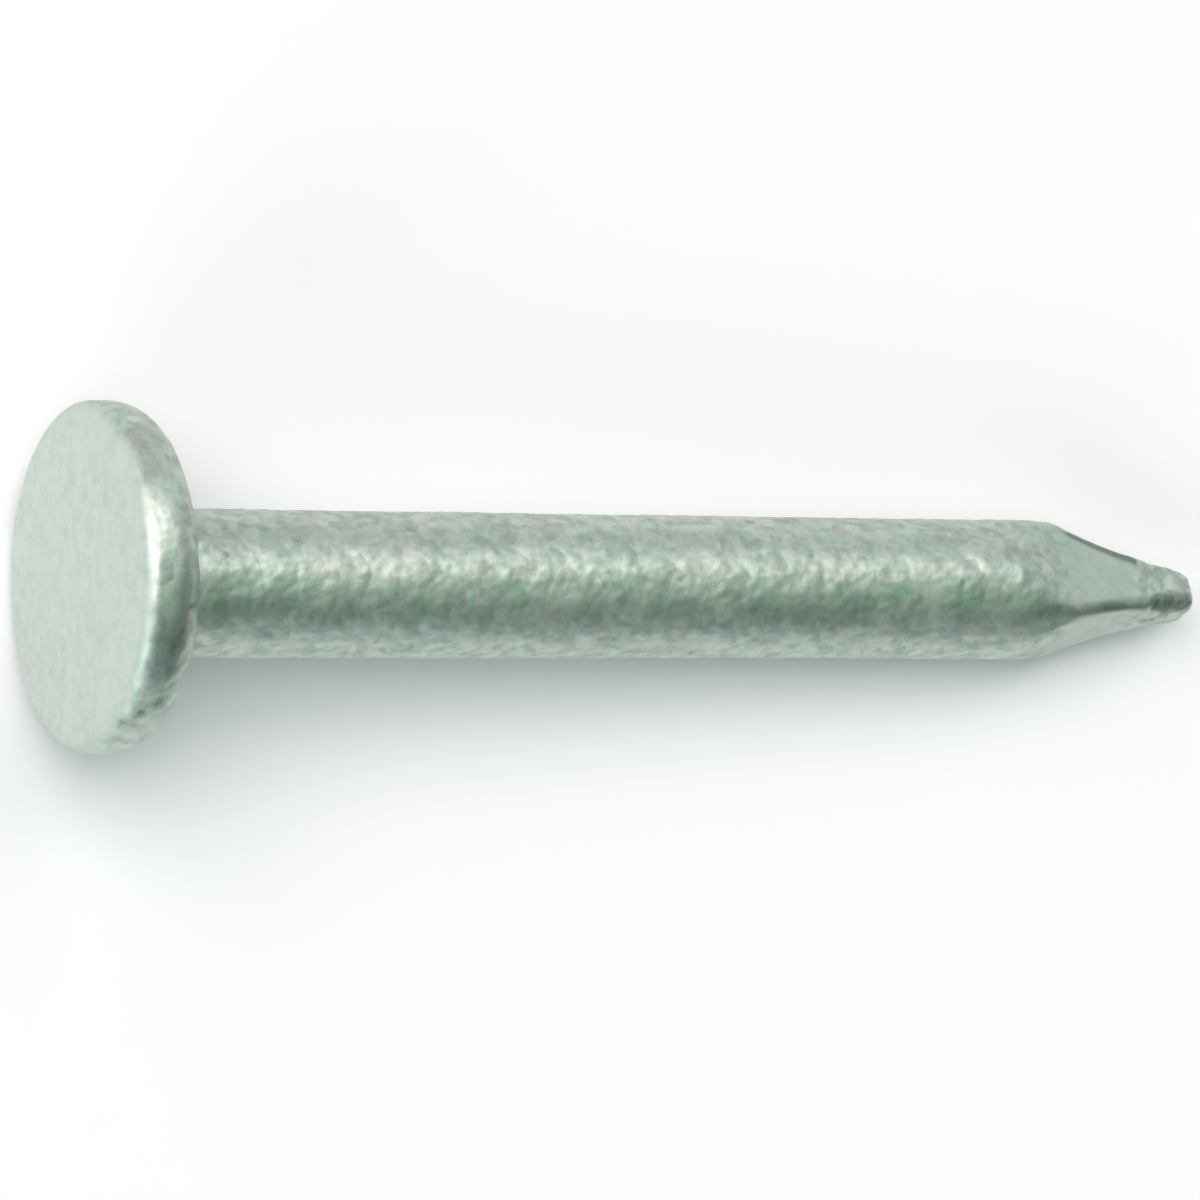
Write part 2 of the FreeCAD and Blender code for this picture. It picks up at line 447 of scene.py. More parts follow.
@dataclass
class ZincCoat:
    """The skin of zinc: its outer surface with a dip's unevenness, and its smooth inner wall.

    The skin is the coat's thickness before lumps, pits and gathered zinc, and `least` is the
    thinnest that a pit leaves it. `stub_spare` is how much deeper a pit may go on the stub, where
    zinc has gathered, and `stub_pits` how far back from the tip it may. The grits scale the
    unevenness, the fields named polish, dull and pale are shares for the finish, and `drip` is the
    zinc that hangs past the tip.
    """

    form: NailForm
    skin: float = 0.05 * MM
    least: float = 0.012 * MM
    segments: int = 176
    inner_segments: int = 128
    seed: int = 11
    face_grit: float = 0.22
    facet_grit: float = 0.22
    stub_grit: float = 1.4
    stub_spare: float = 0.11 * MM
    stub_pits: float = 1.2 * MM
    body_polish: float = 0.5
    rim_polish: float = 0.3
    rim_dull: float = 0.14
    facet_dull: float = 0.16
    face_pale: float = 0.28
    drip: float = 0.05 * MM

    HEAD_ZONES: ClassVar[tuple[Zone, ...]] = (Zone.FACE, Zone.FACE_EDGE, Zone.RIM, Zone.SEAT_EDGE)
    COUNTS: ClassVar[dict[Zone, int]] = {
        Zone.FACE: 26,
        Zone.FACE_EDGE: 12,
        Zone.RIM: 5,
        Zone.SEAT_EDGE: 14,
        Zone.SEAT: 12,
        Zone.NECK: 6,
        Zone.SHANK: 290,
        Zone.POINT: 86,
        Zone.END: 9,
    }
    INNER_COUNTS: ClassVar[dict[Zone, int]] = {
        Zone.FACE: 4,
        Zone.FACE_EDGE: 6,
        Zone.RIM: 2,
        Zone.SEAT_EDGE: 8,
        Zone.SEAT: 3,
        Zone.NECK: 4,
        Zone.SHANK: 12,
        Zone.POINT: 40,
        Zone.END: 5,
    }
    # How much of a step the last ring stays short of the tip's middle.
    POLE_GAP: ClassVar[float] = 0.4
    # Width and height of the three sizes of unevenness in the zinc.
    WAVES: ClassVar[tuple[tuple[float, float], ...]] = (
        (3.2 * MM, 0.018 * MM),
        (0.50 * MM, 0.012 * MM),
        (0.19 * MM, 0.011 * MM),
    )
    # Along, azimuth in degrees, half width, depth and tone.
    BLEMISHES_AND_PAINTED_LIGHT: ClassVar[tuple[BlemishOrPaintedLight, ...]] = (
        BlemishOrPaintedLight(-1.36 * MM, -56.0, 0.15 * MM, 0.050 * MM),
        BlemishOrPaintedLight(-1.42 * MM, -46.0, 0.10 * MM, 0.040 * MM),
        BlemishOrPaintedLight(-1.02 * MM, -49.0, 0.12 * MM, 0.045 * MM),
        BlemishOrPaintedLight(-0.72 * MM, -44.0, 0.11 * MM, 0.040 * MM),
        BlemishOrPaintedLight(-0.39 * MM, -39.0, 0.13 * MM, 0.045 * MM),
        BlemishOrPaintedLight(-1.47 * MM, -51.0, 0.12 * MM, -0.045 * MM, 0.0),
        BlemishOrPaintedLight(-1.20 * MM, -52.0, 0.20 * MM, -0.035 * MM, 0.0),
        BlemishOrPaintedLight(-0.55 * MM, -49.0, 0.18 * MM, -0.030 * MM, 0.0),
        # Painted dark reflection on the rim, where it faces the dark side of the room: wide
        # shallow hollows with a dark tone.
        BlemishOrPaintedLight(-0.50 * MM, -15.0, 0.30 * MM, 0.020 * MM, 0.22),
        BlemishOrPaintedLight(-0.60 * MM, -24.0, 0.36 * MM, 0.020 * MM, 0.28),
        BlemishOrPaintedLight(-0.70 * MM, -32.0, 0.30 * MM, 0.015 * MM, 0.25),
        # Painted highlight on the rim, where it mirrors the strip light: low lumps with a pale
        # tone.
        BlemishOrPaintedLight(-1.05 * MM, 31.0, 0.22 * MM, -0.020 * MM, -0.8),
        BlemishOrPaintedLight(-0.98 * MM, 23.0, 0.26 * MM, -0.025 * MM, -0.9),
        BlemishOrPaintedLight(-0.85 * MM, 15.0, 0.24 * MM, -0.020 * MM, -0.9),
        BlemishOrPaintedLight(-0.50 * MM, 7.0, 0.24 * MM, -0.020 * MM, -0.6),
        BlemishOrPaintedLight(20.45 * MM, 31.0, 0.24 * MM, 0.020 * MM, 0.45),
        BlemishOrPaintedLight(24.15 * MM, 25.0, 0.13 * MM, -0.030 * MM, -0.8),
        BlemishOrPaintedLight(24.55 * MM, 48.0, 0.11 * MM, 0.020 * MM, 0.5),
        BlemishOrPaintedLight(24.45 * MM, -26.0, 0.14 * MM, 0.030 * MM, 0.6),
        BlemishOrPaintedLight(25.00 * MM, 6.0, 0.14 * MM, -0.030 * MM, -0.8),
        BlemishOrPaintedLight(24.90 * MM, -58.0, 0.12 * MM, 0.035 * MM, 0.5),
        BlemishOrPaintedLight(25.35 * MM, -48.0, 0.13 * MM, 0.020 * MM, 0.6),
        BlemishOrPaintedLight(25.50 * MM, 72.0, 0.30 * MM, 0.060 * MM, 0.0),
        BlemishOrPaintedLight(25.62 * MM, -70.0, 0.28 * MM, 0.050 * MM, 0.0),
    )
    # Painted dark reflections along the point's ridges: ridge, start, end, half widths at both,
    # tone, and the length over which the end fades.
    PAINTED_RIDGE_SHADES: ClassVar[tuple[PaintedRidgeShade, ...]] = (
        PaintedRidgeShade(-0.045, 22.1 * MM, 24.18 * MM, 0.05 * MM, 0.25 * MM, 0.85, 0.08 * MM),
        PaintedRidgeShade(1.0, 22.1 * MM, 24.18 * MM, 0.05 * MM, 0.18 * MM, 0.70, 0.08 * MM),
        PaintedRidgeShade(2.0, 22.1 * MM, 24.18 * MM, 0.05 * MM, 0.18 * MM, 0.70, 0.08 * MM),
        PaintedRidgeShade(3.0, 21.0 * MM, 22.7 * MM, 0.32 * MM, 0.16 * MM, 0.45, 1.2 * MM),
        PaintedRidgeShade(3.0, 22.9 * MM, 25.6 * MM, 0.13 * MM, 0.22 * MM, 0.36, 0.3 * MM),
    )

    def grid(self, form: NailForm, counts: dict[Zone, int], segments: int) -> np.ndarray:
        """Return the nail's smooth surface as rings of points, without the two poles.

        A ring at place x has the points (x, offset + r sin a, r cos a) for azimuth a right round.
        The turned parts' radius is the outline's. The point's is the softened four-sided
        section. The end closes on a blunt dome: x = start + e (sin t)^(2/p) and radius times
        (cos t)^(2/p). Rings of the head sit off the axis by its offset, which dies out across
        the seat.

        Args:
            form: Sizes of this surface.
            counts: Number of rings in each zone.
            segments: Points in a ring.

        Returns:
            An array of rings, points and coordinates.
        """
        along, radius, zones = form.outline(counts)
        azimuth = np.arange(segments) * 2 * math.pi / segments
        turned = np.repeat(radius[:, None], segments, axis=1)
        steps = (np.arange(counts[Zone.POINT]) + 1.0) / counts[Zone.POINT]
        start = along[-1]
        end = form.tip_x - form.end_rounding
        point_x = start + (end - start) * steps
        pointed = form.point_radius(point_x[:, None], azimuth[None, :])
        turn = (np.arange(counts[Zone.END]) + 1.0) / (counts[Zone.END] + self.POLE_GAP)
        turn = turn * math.pi / 2
        end_x = end + form.end_rounding * np.sin(turn) ** (2 / form.end_power)
        shrink = np.cos(turn) ** (2 / form.end_power)
        ended = form.point_radius(end_x[:, None], azimuth[None, :]) * shrink[:, None]
        where = np.concatenate([along, point_x, end_x])
        size = np.concatenate([turned, pointed, ended])
        seat = np.array([zone is Zone.SEAT for zone in zones])
        offset = np.array([zone in self.HEAD_ZONES for zone in zones], float)
        offset[seat] = 1.0 - (np.arange(seat.sum()) + 1.0) / seat.sum()
        offset = np.concatenate([offset, np.zeros(len(where) - len(offset))]) * form.head_offset
        sideways = offset[:, None] + size * np.sin(azimuth)[None, :]
        height = size * np.cos(azimuth)[None, :]
        return np.stack([np.broadcast_to(where[:, None], size.shape), sideways, height], axis=2)

    @staticmethod
    def normals(rings: np.ndarray) -> np.ndarray:
        """Return outward unit normals: the cross product of the steps along and round the grid.

        Args:
            rings: The surface's points, by ring.

        Returns:
            One unit vector for each point.
        """
        around = np.roll(rings, -1, axis=1) - np.roll(rings, 1, axis=1)
        along = np.gradient(rings, axis=0)
        across = np.cross(along, around)
        length = np.linalg.norm(across, axis=2, keepdims=True)
        return across / np.maximum(length, 1e-15)

    def roughness(self, rings: np.ndarray) -> np.ndarray:
        """Return how uneven the zinc is at each point, against 1 on the shank.

        The struck face and the pinched facets are smooth, the shank and rim are rough, and the
        stub at the tip, where the zinc drains and gathers, is the roughest.

        Args:
            rings: The smooth surface's points.

        Returns:
            The unevenness at each point.
        """
        along, form = rings[..., 0], self.form
        off_face = smoothstep(along, -form.head_thickness, -form.head_thickness + 0.30 * MM)
        level = self.face_grit + (1 - self.face_grit) * off_face
        level = level * (1 - (1 - self.facet_grit) * form.facet_share(along))
        return level + self.stub_grit * form.stub_share(along)

    def lumps(self, rings: np.ndarray) -> tuple[np.ndarray, np.ndarray]:
        """Return the zinc's height over its mean surface, and the tone of its blemishes and of the
        painted light and shade on the rim.

        The height is the sum of three sizes of gradient noise, each scaled by the local
        unevenness, less a bell curve exp(-(distance / width)^2) for each blemish. It stops where
        the coat would get thinner than it may.

        Args:
            rings: The smooth surface's points.

        Returns:
            The height in metres, and the tone (dark over 0, pale under 0), for each point.
        """
        points = rings.reshape(-1, 3)
        level = self.roughness(rings)
        height = np.zeros(rings.shape[:2])
        for number, (width, tall) in enumerate(self.WAVES):
            field = LumpField(self.seed + number)
            height += field.sample(points, width).reshape(height.shape) * tall * level
        tone = np.zeros_like(height)
        for mark in self.BLEMISHES_AND_PAINTED_LIGHT:
            distance = np.linalg.norm(rings - self.mark_centre(mark), axis=2)
            bell = np.exp(-((distance / mark.width) ** 2))
            height -= mark.depth * bell
            tone += mark.tone * bell
        on_stub = rings[..., 0] > self.form.tip_x - self.stub_pits
        lowest = self.least - self.skin - np.where(on_stub, self.stub_spare, 0.0)
        return np.maximum(height, lowest), tone

    def mark_centre(self, mark: BlemishOrPaintedLight) -> np.ndarray:
        """Return the middle of a blemish, on the head's rim or on the shank or point.

        Args:
            mark: The blemish.

        Returns:
            Its place.
        """
        azimuth, form = math.radians(mark.azimuth), self.form
        if mark.along < 0:
            radius, aside = form.head_radius, form.head_offset
        else:
            radius, aside = float(form.point_radius(np.array(mark.along), np.array(azimuth))), 0.0
        return np.array(
            [mark.along, aside + radius * math.sin(azimuth), radius * math.cos(azimuth)]
        )

    def inner_form(self) -> NailForm:
        """Return the form of the inner wall, one skin inside the nail's outer shape.

        Returns:
            That form.
        """
        form, skin = self.form, self.skin
        return replace(
            form,
            shank_radius=form.shank_radius - skin,
            head_radius=form.head_radius - skin,
            head_thickness=form.head_thickness - skin,
            tip_x=form.tip_x - skin,
            seat_x=form.seat_x - skin,
            point_length=form.point_length + skin,
            face_edge=form.face_edge - skin,
            seat_edge=form.seat_edge - skin,
            neck=form.neck + skin,
            tip_half=form.tip_half - skin,
            end_rounding=form.end_rounding - skin / 2,
        )

    @staticmethod
    def closed_faces(rings: int, segments: int, first: int, inward: bool) -> list[tuple]:
        """Return the faces of a closed grid: quads between rings and a fan at each pole.

        Args:
            rings: Number of rings.
            segments: Points in a ring.
            first: Index of the surface's first point. Its poles follow its rings.
            inward: True to turn the faces the other way, as on a cavity's wall.

        Returns:
            One tuple of point indices for each face.
        """
        index = np.arange(rings * segments).reshape(rings, segments) + first
        after = np.roll(index, -1, axis=1)
        quads = np.stack([index[:-1], index[1:], after[1:], after[:-1]], axis=2).reshape(-1, 4)
        start_pole, end_pole = first + rings * segments, first + rings * segments + 1
        start = np.stack([np.full(segments, start_pole), index[0], after[0]], axis=1)
        end = np.stack([np.full(segments, end_pole), after[-1], index[-1]], axis=1)
        order = slice(None, None, -1 if inward else 1)
        return [tuple(face) for block in (quads, start, end) for face in block[:, order].tolist()]

    @staticmethod
    def with_poles(rings: np.ndarray) -> np.ndarray:
        """Return the rings' points in one list, followed by the middle of each end ring."""
        poles = np.stack([rings[0].mean(axis=0), rings[-1].mean(axis=0)])
        return np.concatenate([rings.reshape(-1, 3), poles])

    def rim_share(self, rings: np.ndarray) -> np.ndarray:
        """Return 1 on the rim of the head and 0 away from it.

        Args:
            rings: The smooth surface's points.

        Returns:
            The share at each point.
        """
        along, face_x = rings[..., 0], -self.form.head_thickness
        share = smoothstep(along, face_x + 0.10 * MM, face_x + 0.5 * MM)
        return share * (1 - smoothstep(along, -0.3 * MM, 0.1 * MM))

    def polish(self, rings: np.ndarray) -> np.ndarray:
        """Return how smooth the grain's surface is: most on the rim, least on the struck face.

        Args:
            rings: The smooth surface's points.

        Returns:
            The share at each point, from 0 to the sum of the two polishes.
        """
        start = self.form.face_edge * 0.7 - self.form.head_thickness
        off_face = smoothstep(rings[..., 0], start, -1.0 * MM)
        return self.body_polish * off_face + self.rim_polish * self.rim_share(rings)

    def tone_and_painted_light(self, rings: np.ndarray, tone: np.ndarray) -> np.ndarray:
        """Return how much the zinc is darkened, above 0, or made paler, below 0.

        The rim and the pinched facets are duller than the shank, and the struck face is paler.
        The painted dark reflections in bands along the pinched end's ridges are the darkest, by
        the arc from their ridge.

        Args:
            rings: The smooth surface's points.
            tone: The tone of the blemishes and of the painted light and shade on the rim, at each
                point.

        Returns:
            The share at each point, from -1 to 1.
        """
        along, form = rings[..., 0], self.form
        azimuth = np.arctan2(rings[..., 1], rings[..., 2])
        radius = np.hypot(rings[..., 1], rings[..., 2])
        face = 1 - smoothstep(along, -form.head_thickness, 0.15 * MM - form.head_thickness)
        facets = form.facet_share(along) * (1 - form.stub_share(along))
        dull = self.rim_dull * self.rim_share(rings) + self.facet_dull * facets
        dull = dull - self.face_pale * face + tone
        # Painted dark reflections along the pinched end's ridges, by the arc from each ridge.
        for band in self.PAINTED_RIDGE_SHADES:
            middle = form.facet_azimuth + (band.ridge + 0.5) * 2 * math.pi / form.facets
            arc = radius * np.abs(np.angle(np.exp(1j * (azimuth - middle))))
            dull = dull + band.tone * band.share(along, arc)
        return np.clip(dull, -1.0, 1.0)

    def dipped_form(self) -> NailForm:
        """Return the form as dipped: zinc gathered on the facets, the stub and near the head."""
        return replace(
            self.form,
            tip_x=self.form.tip_x + self.drip,
            point_length=self.form.point_length + self.drip,
            facet_zinc=0.060 * MM,
            stub_zinc=0.095 * MM,
            shank_swell=0.035 * MM,
        )

    def clear_of_steel(self, rings: np.ndarray) -> np.ndarray:
        """Return the point's rings pushed out where they would come within `least` of the steel.

        Args:
            rings: Points of the outer surface.

        Returns:
            The same points, moved straight out from the axis where they had to be.
        """
        steel = self.inner_form()
        pointed = rings[..., 0] > steel.point_x - 1.0 * MM
        azimuth = np.arctan2(rings[..., 1], rings[..., 2])
        radius = np.hypot(rings[..., 1], rings[..., 2])
        floor = steel.point_radius(rings[..., 0], azimuth) + self.least
        inside = pointed & (rings[..., 0] < steel.tip_x - steel.end_rounding) & (radius < floor)
        scale = np.ones_like(radius)
        scale[inside] = floor[inside] / radius[inside]
        return rings * np.stack([np.ones_like(scale), scale, scale], axis=-1)

    def wall(self) -> np.ndarray:
        """Return the rings of the surface that the coat and the wire inside it share."""
        return self.grid(self.inner_form(), self.INNER_COUNTS, self.inner_segments)

    def build(self) -> bpy.types.Object:
        """Build the coat's mesh and object, with its shares for the finish as attributes.

        The attributes are `grit` (how rough the zinc is), `dull` (how much it is darkened or made
        paler, with the painted dark reflections and the painted highlight) and `polish` (how
        smooth its grain is).

        Returns:
            The finished object, at the origin.
        """
        rings = self.grid(self.dipped_form(), self.COUNTS, self.segments)
        height, tone = self.lumps(rings)
        outer = self.clear_of_steel(rings + self.normals(rings) * height[..., None])
        wall = self.wall()
        points = np.concatenate([self.with_poles(outer), self.with_poles(wall)])
        faces = self.closed_faces(*outer.shape[:2], 0, inward=False)
        faces += self.closed_faces(*wall.shape[:2], outer[..., 0].size + 2, inward=True)
        coat = link_mesh("zinc_coat", points, faces)
        shares = {
            "grit": self.roughness(rings),
            # dull holds the zinc's own tone together with the painted dark reflections and the
            # painted highlight.
            "dull": self.tone_and_painted_light(rings, tone),
            "polish": self.polish(rings),
        }
        for name, share in shares.items():
            values = np.zeros(len(points))
            values[: share.size] = share.ravel()
            coat.data.attributes.new(name, "FLOAT", "POINT").data.foreach_set("value", values)
        coat.data.materials.append(HotDipZinc().material())
        return coat

    def build_wire(self) -> bpy.types.Object:
        """Build the wire inside the coat, out to the coat's wall, in drawn steel.

        Returns:
            The finished object, at the origin.
        """
        wall = self.wall()
        faces = self.closed_faces(*wall.shape[:2], 0, inward=False)
        wire = link_mesh("drawn_wire", self.with_poles(wall), faces)
        wire.data.materials.append(DrawnSteel().material())
        return wire


class Term:
    """One output socket of a material's nodes, with arithmetic that adds Math nodes."""

    def __init__(self, graph: "Graph", socket: "bpy.types.NodeSocket | None") -> None:
        """Wrap a socket of a graph."""
        self.graph = graph
        self.socket = socket

    def _math(self, operation: str, first: "Term | float", second: "Term | float") -> "Term":
        """Return the result of one Math node on two values."""
        return self.graph.node("ShaderNodeMath", {"operation": operation}, {0: first, 1: second})

    def __add__(self, other: "Term | float") -> "Term":
        """Return this plus other."""
        return self._math("ADD", self, other)

    def __radd__(self, other: float) -> "Term":
        """Return other plus this."""
        return self._math("ADD", other, self)

    def __sub__(self, other: "Term | float") -> "Term":
        """Return this less other."""
        return self._math("SUBTRACT", self, other)

    def __rsub__(self, other: float) -> "Term":
        """Return other less this."""
        return self._math("SUBTRACT", other, self)

    def __mul__(self, other: "Term | float") -> "Term":
        """Return this times other."""
        return self._math("MULTIPLY", self, other)

    def __rmul__(self, other: float) -> "Term":
        """Return other times this."""
        return self._math("MULTIPLY", other, self)


class Graph:
    """The nodes of one material or world."""

    def __init__(self, owner: "bpy.types.Material | bpy.types.World") -> None:
        """Start from an empty node tree.

        Args:
            owner: The material or world that the nodes are for.
        """
        owner.use_nodes = True
        self.tree = owner.node_tree
        self.tree.nodes.clear()

    def node(
        self,
        kind: str,
        settings: "dict | None" = None,
        inputs: "dict | None" = None,
        output: "int | str" = 0,
    ) -> Term:
        """Add one node.

        Args:
            kind: The node's type.
            settings: Properties of the node, which are set first.
            inputs: Values or terms for its input sockets, by index or name.
            output: The output socket to return.

        Returns:
            That output, as a term. A node without outputs gives a term without a socket.
        """
        made = self.tree.nodes.new(kind)
        for name, value in (settings or {}).items():
            setattr(made, name, value)
        for key, value in (inputs or {}).items():
            socket = made.inputs[key]
            if isinstance(value, Term):
                self.tree.links.new(value.socket, socket)
            else:
                socket.default_value = value
        return Term(self, made.outputs[output] if made.outputs else None)

    def noise(self, place: Term, scale: float, detail: float, rough: float = 0.55) -> Term:
        """Return fractal noise from 0 to 1 with this many lumps to a unit of place."""
        values = {"Vector": place, "Scale": scale, "Detail": detail, "Roughness": rough}
        return self.node("ShaderNodeTexNoise", {"noise_dimensions": "3D"}, values)

    def ramp(self, value: Term, low: float, high: float, to_low: float, to_high: float) -> Term:
        """Return a value carried smoothly from one range to another, and no further.

        Args:
            value: The value to carry over.
            low: Where its range starts.
            high: Where its range ends.
            to_low: What the start gives.
            to_high: What the end gives.

        Returns:
            The value in its new range.
        """
        settings = {"interpolation_type": "SMOOTHSTEP", "clamp": True}
        values = {"Value": value, "From Min": low, "From Max": high}
        values |= {"To Min": to_low, "To Max": to_high}
        return self.node("ShaderNodeMapRange", settings, values)

    def blend(self, share: "Term | float", first: "Term | tuple", second: "Term | tuple") -> Term:
        """Return a mix of two colours."""
        values = {0: share, 6: first, 7: second}
        return self.node("ShaderNodeMix", {"data_type": "RGBA"}, values, output=2)

    def cells(self, place: Term, scale: float, soft: float) -> tuple[Term, Term, Term]:
        """Return the distance from the nearest cell's middle, and two random numbers a cell.

        Args:
            place: Where to look.
            scale: Cells to a unit of place.
            soft: How far neighbouring cells run into each other, from 0 to 1.

        Returns:
            The distance, the first random number and the second.
        """
        settings = {"voronoi_dimensions": "3D", "feature": "SMOOTH_F1"}
        values = {"Vector": place, "Scale": scale, "Smoothness": soft}
        distance = self.node("ShaderNodeTexVoronoi", settings, values, output="Distance")
        colour = Term(self, distance.socket.node.outputs["Color"])
        parts = self.node("ShaderNodeSeparateColor", {"mode": "RGB"}, {"Color": colour})
        made = parts.socket.node.outputs
        return distance, parts, Term(self, made["Green"])

    def attribute(self, name: str) -> Term:
        """Return a number stored on the mesh's points."""
        return self.node("ShaderNodeAttribute", {"attribute_name": name}, output="Fac")

    def object_place(self, stretch: tuple[float, float, float]) -> Term:
        """Return Object coordinates times a stretch along each axis."""
        place = self.node("ShaderNodeTexCoord", output="Object")
        return self.node("ShaderNodeMapping", inputs={"Vector": place, "Scale": stretch})


@dataclass(frozen=True)
class HotDipZinc:
    """Finish of the coat: dull green-grey zinc, mottled, grainy and a little oxidised.

    The sizes of patches, grains, holes and crystals are given as how many fit in a millimetre.
    """

    cool: Colour = (0.512, 0.612, 0.546, 1.0)
    warm: Colour = (0.572, 0.612, 0.562, 1.0)
    dark: Colour = (0.205, 0.255, 0.220, 1.0)
    pale: Colour = (0.760, 0.800, 0.735, 1.0)
    metallic: float = 0.90
    roughness: float = 0.52
    patches_per_mm: float = 0.9
    holes_per_mm: float = 2.7
    crystals_per_mm: float = 3.4
    grains_per_mm: float = 3.6
    fine_per_mm: float = 11.0
    relief: float = 0.52
    relief_height: float = 0.03 * MM

    def material(self) -> bpy.types.Material:
        """Make the material.

        Patches and crystals go from cool to warm grey. The crystals differ in brightness, the
        grain darkens and roughens the surface in places, and a few holes are darker. The stored
        `dull` darkens the blemishes and paints dark reflections along the point's ridges and on
        the rim, or makes the face paler and paints a highlight on the rim, and `grit` scales the
        mottling and the relief. The crystals, the grain and the fine grain feed one bump.

        Returns:
            The new material.
        """
        made = bpy.data.materials.new("hot_dip_zinc")
        graph = Graph(made)
        place = graph.object_place((PER_MM, PER_MM, PER_MM))
        patches = graph.noise(place, self.patches_per_mm, 3.0)
        grain = graph.noise(place, self.grains_per_mm, 3.0, 0.6)
        fine = graph.noise(place, self.fine_per_mm, 2.0, 0.5)
        away, shade, hue = graph.cells(place, self.crystals_per_mm, 0.35)
        grit, dull = graph.attribute("grit"), graph.attribute("dull")
        polish = graph.attribute("polish")
        warmth = graph.ramp(patches * 0.65 + hue * 0.35, 0.34, 0.64, -0.5, 0.5) * grit + 0.5
        tone = graph.blend(warmth, self.cool, self.warm)
        # Where dull is below 0 the zinc blends towards pale: the struck face, and the painted
        # highlight on the rim.
        tone = graph.blend(graph.ramp(dull, -1.0, 0.0, 0.85, 0.0), tone, self.pale)
        holes = graph.ramp(graph.noise(place, self.holes_per_mm, 1.0), 0.68, 0.80, 0.0, 0.35)
        dirt = graph.ramp(grain, 0.30, 0.58, 0.26, 0.0) + holes
        dirt = dirt + graph.ramp(shade, 0.0, 1.0, 0.26, -0.04)
        # Dull above 0 blends towards dark: the pits, rim and facets, and the painted dark
        # reflections on the rim and along the point's ridges.
        colour = graph.blend(dirt * grit + graph.ramp(dull, 0.0, 1.0, 0.0, 1.0), tone, self.dark)
        rough = graph.ramp(grain, 0.3, 0.7, self.roughness + 0.07, self.roughness - 0.05)
        height = (grain * 0.55 + fine * 0.15 - away * 0.55) * grit
        bump = graph.node(
            "ShaderNodeBump",
            inputs={"Strength": self.relief, "Distance": self.relief_height, "Height": height},
        )
        shine = (self.metallic + 0.06, self.metallic - 0.08)
        shader = graph.node(
            "ShaderNodeBsdfPrincipled",
            inputs={
                "Base Color": colour,
                "Metallic": graph.ramp(patches, 0.3, 0.7, *shine),
                "Roughness": rough - polish * 0.09,
                "Normal": bump,
            },
        )
        graph.node("ShaderNodeOutputMaterial", inputs={"Surface": shader})
        return made


@dataclass(frozen=True)
class DrawnSteel:
    """Finish of the wire inside: bright-drawn steel with fine lines along the nail.

    The lines are given as how many fit in a millimetre, along the nail and across it.
    """

    light: Colour = (0.46, 0.46, 0.47, 1.0)
    dark: Colour = (0.27, 0.27, 0.28, 1.0)
    lines_along: float = 0.4
    lines_across: float = 16.0

    def material(self) -> bpy.types.Material:
        """Make the material: noise stretched along the nail gives the drawing lines.

        Returns:
            The new material.
        """
        made = bpy.data.materials.new("drawn_steel")
        graph = Graph(made)
        across = self.lines_across * PER_MM
        stretched = graph.object_place((self.lines_along * PER_MM, across, across))
        lines = graph.noise(stretched, 1.0, 3.0)
        stain = graph.noise(graph.object_place((PER_MM, PER_MM, PER_MM)), 0.8, 2.0)
        colour = graph.blend(lines * 0.6 + stain * 0.4, self.dark, self.light)
        bump = graph.node(
            "ShaderNodeBump", inputs={"Strength": 0.3, "Distance": 0.01 * MM, "Height": lines}
        )
        shader = graph.node(
            "ShaderNodeBsdfPrincipled",
            inputs={
                "Base Color": colour,
                "Metallic": 0.95,
                "Roughness": graph.ramp(lines, 0.3, 0.7, 0.28, 0.42),
                "Normal": bump,
            },
        )
        graph.node("ShaderNodeOutputMaterial", inputs={"Surface": shader})
        return made


@dataclass(frozen=True)
class PaleFloor:
    """Finish of the floor: plain matt white board."""

    white: Colour = (0.80, 0.80, 0.80, 1.0)
    shade: Colour = (0.785, 0.79, 0.79, 1.0)
    clouds_per_metre: float = 30.0

    def material(self) -> bpy.types.Material:
        """Make the material, with the faintest cloudiness.

        Returns:
            The new material.
        """
        made = bpy.data.materials.new("pale_floor")
        graph = Graph(made)
        cloud = graph.noise(graph.object_place((self.clouds_per_metre,) * 3), 1.0, 2.0)
        shader = graph.node(
            "ShaderNodeBsdfPrincipled",
            inputs={"Base Color": graph.blend(cloud, self.white, self.shade), "Roughness": 0.9},
        )
        graph.node("ShaderNodeOutputMaterial", inputs={"Surface": shader})
        return made


@dataclass(frozen=True)
class Panel:
    """A soft light panel, by the direction it hangs in and the angle it fills from the nail.

    Azimuth is measured from +X towards +Y and elevation from level, in degrees. The half angles
    are across and up, and the radiance is what its surface shows.
    """

    name: str
    azimuth: float
    elevation: float
    half_across: float
    half_up: float
    radiance: float
    tint: Tint = (1.0, 1.0, 1.0)
    distance: float = 0.8

    def hang(self, middle: Vector) -> bpy.types.Object:
        """Make the area light, facing the nail.

        An area light's power is 4 times its area times its radiance.

        Args:
            middle: The point that the panel faces.

        Returns:
            The light's object.
        """
        azimuth, elevation = math.radians(self.azimuth), math.radians(self.elevation)
        toward = Vector(
            (
                math.cos(elevation) * math.cos(azimuth),
                math.cos(elevation) * math.sin(azimuth),
                math.sin(elevation),
            )
        )
        light = bpy.data.lights.new(self.name, "AREA")
        light.shape = "RECTANGLE"
        light.size = 2 * self.distance * math.tan(math.radians(self.half_across))
        light.size_y = 2 * self.distance * math.tan(math.radians(self.half_up))
        light.energy = 4 * light.size * light.size_y * self.radiance
        light.color = self.tint
        made = bpy.data.objects.new(self.name, light)
        bpy.context.scene.collection.objects.link(made)
        made.visible_camera = False
        made.location = middle + toward * self.distance
        made.rotation_euler = toward.to_track_quat("Z", "Y").to_euler()
        return made


